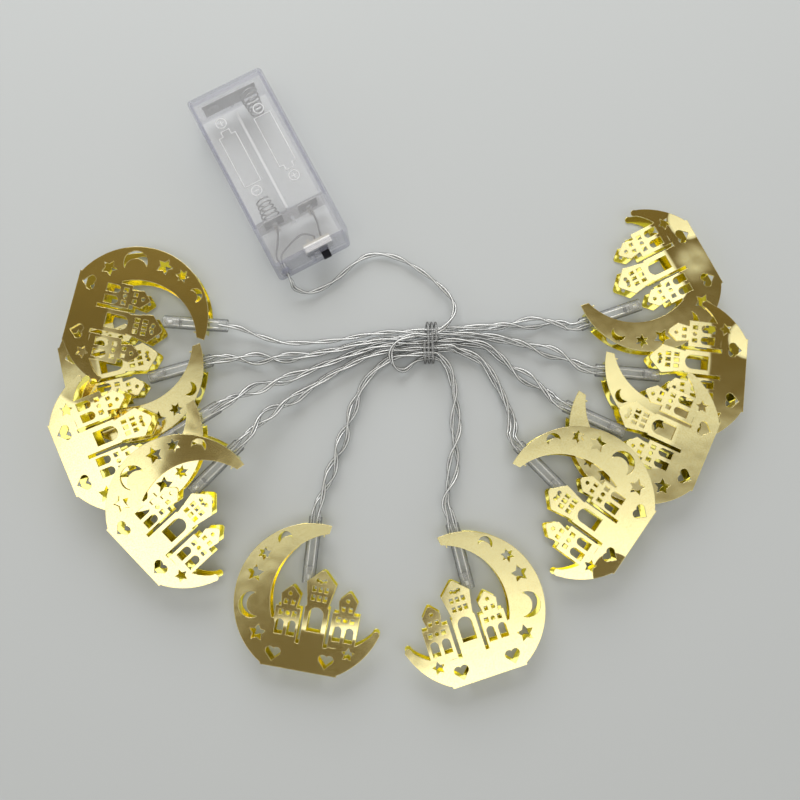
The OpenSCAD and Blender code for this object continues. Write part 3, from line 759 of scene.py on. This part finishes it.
def case_plastic(name, colour, wall_shade_colour, cover, wall_cover):
    """Clear plastic with a blue haze, fuller in the outer walls and the rib, which are seen edge on. The
    walls and grazing rims are also painted a darker blue-grey, a painted shade for plastic seen edge on.
    """
    material, start = new_finish(name)
    place = start.node("ShaderNodeTexCoord", out="Object")
    cloud = noise(place, 120.0, 4.0)
    sides = start.node("ShaderNodeSeparateXYZ", values={0: place})
    across = sides.math("ABSOLUTE", sides.out("X"))
    along = sides.math("ABSOLUTE", sides.out("Y"))
    height = sides.out("Z")
    to_side = across - (CASE_W / 2 - WALL_SEEN) * MM
    to_end = along - (CASE_L / 2 - WALL_SEEN) * MM
    wall = to_side.math("MAXIMUM", to_side, to_end).ramp(-0.2 * MM, 0.6 * MM)
    rib = (across.ramp((RIB_HALF_W + RIB_SIDE_FADE) * MM, RIB_HALF_W * MM)
           * height.ramp(RIB_FOOT * MM, (RIB_FOOT + RIB_FADE) * MM)
           * height.ramp((RIB_TOP + RIB_FADE) * MM, RIB_TOP * MM))
    rim = start.node("ShaderNodeLayerWeight", values={"Blend": 0.5}, out="Facing") ** 3
    full = rim.math("MAXIMUM", rim, wall)
    haze = cover + (wall_cover - cover) * full + RIB_COVER * rib + 0.08 * (cloud - 0.5)
    in_shadow = start.node("ShaderNodeLightPath", out="Is Shadow Ray")
    rounded = start.node("ShaderNodeBevel", {"samples": 4}, {"Radius": CASE_EASE * MM})
    bump = start.node("ShaderNodeBump", values={
        "Strength": 0.05, "Distance": 0.2 * MM, "Height": cloud, "Normal": rounded})
    return shown_in(material, start.node("ShaderNodeBsdfPrincipled", values={
        "Base Color": full.mixed(colour, wall_shade_colour), "Roughness": 0.08 + 0.1 * cloud,
        "Alpha": haze * (1 - SHADOW_LOSS * in_shadow), "IOR": 1.5, "Normal": bump}))


# The darker second colour is painted shade on the walls and grazing rims, seen edge on.
case_clear = case_plastic("case_clear", (0.96, 0.97, 1.0), (0.40, 0.41, 0.49), cover=0.12, wall_cover=0.32)
dressed("case_body", 0, "string", case_clear)
dressed("case_cover", 0, "cover", case_clear)
dressed("switch_cap", CASE_EASE, "string", case_clear)
dressed("cord_grommet", GROMMET_EASE, "string", case_clear)


# Signs on the cover. Raised lines moulded with it: each cell's outline with the nub at its plus end,
# and a plus or a minus in a ring beyond each end.
SIGN_X = 8.6
SIGN_W = 0.4
RING_R = 2.2
RING_SIDES = 32
MARK_HALF = 1.1
OUTLINE_L = 24.5
OUTLINE_HALF_W = 3.8
NUB_HALF_W = 1.9
NUB_L = 2.4
NUB_GAP = 1.4
FOOT_GAP = 1.2
PLUS_LEFT = 26.2
PLUS_RIGHT = -9
COVER_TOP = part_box("case_cover")[1][2] / MM


def sign_lines(x, plus_y, way):
    """One cell's lines. The plus end is at plus_y, and the cell runs from it along way."""
    nub = plus_y + way * (RING_R + NUB_GAP)
    shoulder = nub + way * NUB_L
    foot = shoulder + way * OUTLINE_L
    minus_y = foot + way * (RING_R + FOOT_GAP)
    ring_angles = [math.tau * i / RING_SIDES for i in range(RING_SIDES + 1)]
    lines = [[(-NUB_HALF_W, nub), (NUB_HALF_W, nub), (NUB_HALF_W, shoulder), (OUTLINE_HALF_W, shoulder),
              (OUTLINE_HALF_W, foot), (-OUTLINE_HALF_W, foot), (-OUTLINE_HALF_W, shoulder),
              (-NUB_HALF_W, shoulder), (-NUB_HALF_W, nub)]]
    for y in (plus_y, minus_y):
        lines.append([(RING_R * math.cos(a), y + RING_R * math.sin(a)) for a in ring_angles])
        lines.append([(-MARK_HALF, y), (MARK_HALF, y)])
    lines.append([(0, plus_y - MARK_HALF), (0, plus_y + MARK_HALF)])
    return [[Vector((x + u, v, COVER_TOP)) * MM for u, v in line] for line in lines]


sign_white = clear_plastic("sign_white", (0.97, 0.97, 0.99), (0.90, 0.91, 0.95),
                           cover=0.8, rim_cover=0.9, roughness=0.25, grain=600)
all_signs = sign_lines(-SIGN_X, PLUS_LEFT, -1) + sign_lines(SIGN_X, PLUS_RIGHT, 1)
signs = grown("cover_signs", line_object("signs", all_signs), tube_tree, {
    "Wire": SIGN_W * MM, "Finish": sign_white})
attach(signs, "cover")


# Contacts. Strips of plated spring steel clipped into the bays' ends, with two springs of plated wire,
# each tapering towards its cell.
STRIP_EASE = 0.1
contact_metal = plated("contact_metal", (0.50, 0.50, 0.51), (0.30, 0.30, 0.31), roughness=0.35, grain=2500)
spring_metal = plated("spring_metal", (0.45, 0.45, 0.45), (0.25, 0.25, 0.25), roughness=0.3, grain=2500)
dressed("link_plate", STRIP_EASE, "string", contact_metal)
dressed("negative_plate", STRIP_EASE, "string", contact_metal)
dressed("positive_plate", 0, "string", contact_metal)

SPRING_WIRE = 0.7
SPRING_TURNS = 5
SPRING_BASE_R = 4.2
SPRING_TIP_R = 2.8
SPRING_L = 11
SPRING_SEAT = 0.3
SPRING_STEPS = 24
SPRING_Z = 9.1


def spring_route(node, way):
    """A tapering coil on the middle of a CAD spring's base, which stands along way."""
    low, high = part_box(node)
    middle = (Vector(low) + Vector(high)) / (2 * MM)
    base = Vector((middle.x, (low if way > 0 else high)[1] / MM + SPRING_SEAT * way, SPRING_Z))
    route = []
    for i in range(SPRING_STEPS * SPRING_TURNS + 1):
        s = i / (SPRING_STEPS * SPRING_TURNS)
        r = SPRING_BASE_R + (SPRING_TIP_R - SPRING_BASE_R) * s
        angle = math.tau * SPRING_TURNS * s
        along = way * (SPRING_WIRE + (SPRING_L - SPRING_WIRE) * s)
        route.append((base + Vector((r * math.cos(angle), along, -way * r * math.sin(angle)))) * MM)
    return route


coils = [spring_route("link_spring", -1), spring_route("negative_spring", 1)]
springs = grown("contact_springs", line_object("springs", coils), tube_tree, {
    "Wire": SPRING_WIRE * MM, "Finish": spring_metal})
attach(springs, "string")
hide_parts("link_spring", "negative_spring")


# Switch and inner wires. A bright pressed frame on a tan board with three terminals, a black knob that
# slides in it, and thin wires soldered from the contacts to the board and the lead.
FRAME_EASE = 0.15
BOARD_EASE = 0.08
KNOB_EASE = 0.2


def moulded(name, colour, worn_colour, roughness, gloss, grain):
    """Solid plastic or board with a fine grain."""
    material, start = new_finish(name)
    grains = noise(start.node("ShaderNodeTexCoord", out="Object"), grain, 5.0)
    bump = start.node("ShaderNodeBump", values={"Strength": 0.15, "Distance": 0.1 * MM, "Height": grains})
    return shown_in(material, start.node("ShaderNodeBsdfPrincipled", values={
        "Base Color": grains.ramp(0.3, 0.8).mixed(colour, worn_colour),
        "Roughness": roughness + 0.2 * (grains - 0.5), "Specular IOR Level": gloss, "Normal": bump}))


frame_metal = plated("frame_metal", (0.98, 0.98, 0.97), (0.80, 0.80, 0.79), roughness=0.5, grain=1800)
board_tan = moulded("board_tan", (0.44, 0.41, 0.35), (0.52, 0.49, 0.42),
                    roughness=0.6, gloss=0.5, grain=1500)
knob_black = moulded("knob_black", (0.006, 0.006, 0.008), (0.014, 0.014, 0.018),
                     roughness=0.4, gloss=0.12, grain=2500)
wire_grey = moulded("wire_grey", (0.12, 0.12, 0.13), (0.20, 0.20, 0.21),
                    roughness=0.35, gloss=0.5, grain=2000)
dressed("switch_frame", FRAME_EASE, "string", frame_metal)
dressed("switch_board", BOARD_EASE, "string", board_tan)
dressed("switch_knob", KNOB_EASE, "knob", knob_black)

CASE_WALL = 1.8
BAY_END = CASE_L / 2 - CASE_WALL
BAY_L = 60
PARTITION_T = 1.5
TAB_OUT = 2.4
STRIP_T = 0.4
FRAME_T = 4
TERMINAL_OUT = 1.6
LEAD_IN = 2.2
CELL_X = 8.275
SWITCH_X = 4
TAB_Y = BAY_END - BAY_L - PARTITION_T - TAB_OUT
TAB_TOP = SPRING_Z + STRIP_T / 2
TERMINAL_Y = -BAY_END + FRAME_T + TERMINAL_OUT
TERMINAL_TOP = 9.2
LEAD_END = -BAY_END + LEAD_IN
WIRE_TOP = 12.4
HOOKUP_D = 0.9
HOOKUP_STEPS = 6
hookups = [
    [(CELL_X, TAB_Y, TAB_TOP), (CELL_X, TAB_Y - 0.2, WIRE_TOP), (CELL_X, TERMINAL_Y + 5, WIRE_TOP + 0.6),
     (SWITCH_X + 3.2, TERMINAL_Y + 1, WIRE_TOP - 0.6), (SWITCH_X + 3, TERMINAL_Y, TERMINAL_TOP)],
    [(SWITCH_X, TERMINAL_Y, TERMINAL_TOP), (SWITCH_X - 0.2, TERMINAL_Y + 0.6, WIRE_TOP - 1),
     (SWITCH_X - 5, TERMINAL_Y + 3, WIRE_TOP - 0.4), (EXIT.x + 2.4, LEAD_END + 4, EXIT.z + 1),
     (EXIT.x + 0.55, LEAD_END + 1, EXIT.z), (EXIT.x + 0.55, LEAD_END, EXIT.z)],
    [(-CELL_X, TAB_Y, TAB_TOP), (-CELL_X, TAB_Y - 0.4, WIRE_TOP - 0.6),
     (-CELL_X - 1.6, TAB_Y - 4, WIRE_TOP - 1), (EXIT.x - 0.7, LEAD_END + 4, EXIT.z + 0.6),
     (EXIT.x - 0.55, LEAD_END + 1, EXIT.z), (EXIT.x - 0.55, LEAD_END, EXIT.z)],
]
hookup_routes = []
for points in hookups:
    hookup_routes.append([p * MM for p in curve([Vector(p) for p in points], HOOKUP_STEPS)])
hookup = grown("hookup_wires_laid", line_object("hookups", hookup_routes), tube_tree, {
    "Wire": HOOKUP_D * MM, "Finish": wire_grey})
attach(hookup, "string")
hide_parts("hookup_wires")


# Table top. A plain pale table with a matt painted top, set a hair under the string so the two don't
# share a plane. Half its width is in metres.
TABLE_HALF = 12
TABLE_DROP = 0.05
FLOOR_COLOUR = (0.575, 0.6, 0.61)

floor_mesh = bpy.data.meshes.new("floor")
floor_corners = []
for x, y in ((-1, -1), (1, -1), (1, 1), (-1, 1)):
    floor_corners.append((x * TABLE_HALF, y * TABLE_HALF, -TABLE_DROP * MM))
floor_mesh.from_pydata(floor_corners, [], [(0, 1, 2, 3)])
floor = bpy.data.objects.new("floor", floor_mesh)
scene.collection.objects.link(floor)
floor_finish, floor_start = new_finish("floor_finish")
floor_mesh.materials.append(shown_in(floor_finish, floor_start.node("ShaderNodeBsdfPrincipled", values={
    "Base Color": (*FLOOR_COLOUR, 1), "Roughness": 0.9, "Specular IOR Level": 0.0})))


# Light. A soft room: a broad light overhead with the dark of the camera in it, a warm shade beyond the
# case, and pale walls low down all round. Each pair of edges says where a light starts and where it is
# full, as a slope from straight up or as a height.
CEILING = 0.7
CEILING_EDGE = (0.22, 0.12)
GLOW = 1.0
GLOW_EDGE = (0.10, -0.25)
NEAR_EDGE = (-0.75, -0.55)
RIGHT_EDGE = (0.7, 0.5)
LEFT_EDGE = (-0.7, -0.5)
HORIZON = (0.05, 0.1)
CAMERA_RIGHT = -0.09
CAMERA_AWAY = -0.06
CAMERA_EDGE = (0.12, 0.18)
WALLS = 0.68
WALL_LEAST = 0.35
WALL_EDGE = (0.75, 0.55)
SIDE_EDGE = (0.2, 0.75)
SHADE = 0.135
SHADE_GAIN = 0.7
SHADE_EDGE = (0.26, 0.46)
SHADE_TINT = (1, 0.73, 0.26)
LIGHT_TINT = (1, 1, 0.99)
LIGHT_EDGE = (0, 0.4)

world = bpy.data.worlds.new("room")
world.use_nodes = True
world.node_tree.nodes.clear()
scene.world = world
sky = Link(world.node_tree)
ways = sky.node("ShaderNodeMapping", values={
    "Vector": sky.node("ShaderNodeTexCoord", out="Generated"), "Rotation": (0, 0, -TABLE_TURN)})
parts = sky.node("ShaderNodeSeparateXYZ", values={0: ways})
over = parts.math("MAXIMUM", parts.out("Z"), HORIZON[0])
right = parts.out("X") / over
away = parts.out("Y") / over
from_camera = ((right - CAMERA_RIGHT) ** 2 + (away - CAMERA_AWAY) ** 2) ** 0.5
panel = ((CEILING * away.ramp(*CEILING_EDGE) + GLOW * away.ramp(*GLOW_EDGE))
         * away.ramp(*NEAR_EDGE) * right.ramp(*RIGHT_EDGE) * right.ramp(*LEFT_EDGE)
         * from_camera.ramp(*CAMERA_EDGE) * parts.out("Z").ramp(*HORIZON))
to_side = parts.math("ABSOLUTE", parts.out("X"))
low = parts.out("Z").ramp(*WALL_EDGE)
lit = panel + WALLS * low * (WALL_LEAST + (1 - WALL_LEAST) * to_side.ramp(*SIDE_EDGE))
shade = SHADE * (1 + SHADE_GAIN * away.ramp(*SHADE_EDGE))
whiteness = low.math("MAXIMUM", low, lit.ramp(*LIGHT_EDGE))
back = sky.node("ShaderNodeBackground", values={
    "Color": whiteness.mixed(SHADE_TINT, LIGHT_TINT), "Strength": shade + lit})
sky.node("ShaderNodeOutputWorld", values={"Surface": back})


# Window. A square of daylight beyond the case, which gives the soft shadows on the near side. Its size
# and place are in metres, from the tie.
WINDOW_SIZE = 0.8
WINDOW_POWER = 7.5
WINDOW_AT = Vector((-0.15, 0.9, 0.6))

window = bpy.data.objects.new("window", bpy.data.lights.new("window", "AREA"))
window.data.size = WINDOW_SIZE
window.data.energy = WINDOW_POWER
window.matrix_world = (table @ Matrix.Translation(WINDOW_AT)
                       @ (-WINDOW_AT).to_track_quat("-Z", "Y").to_matrix().to_4x4())
scene.collection.objects.link(window)
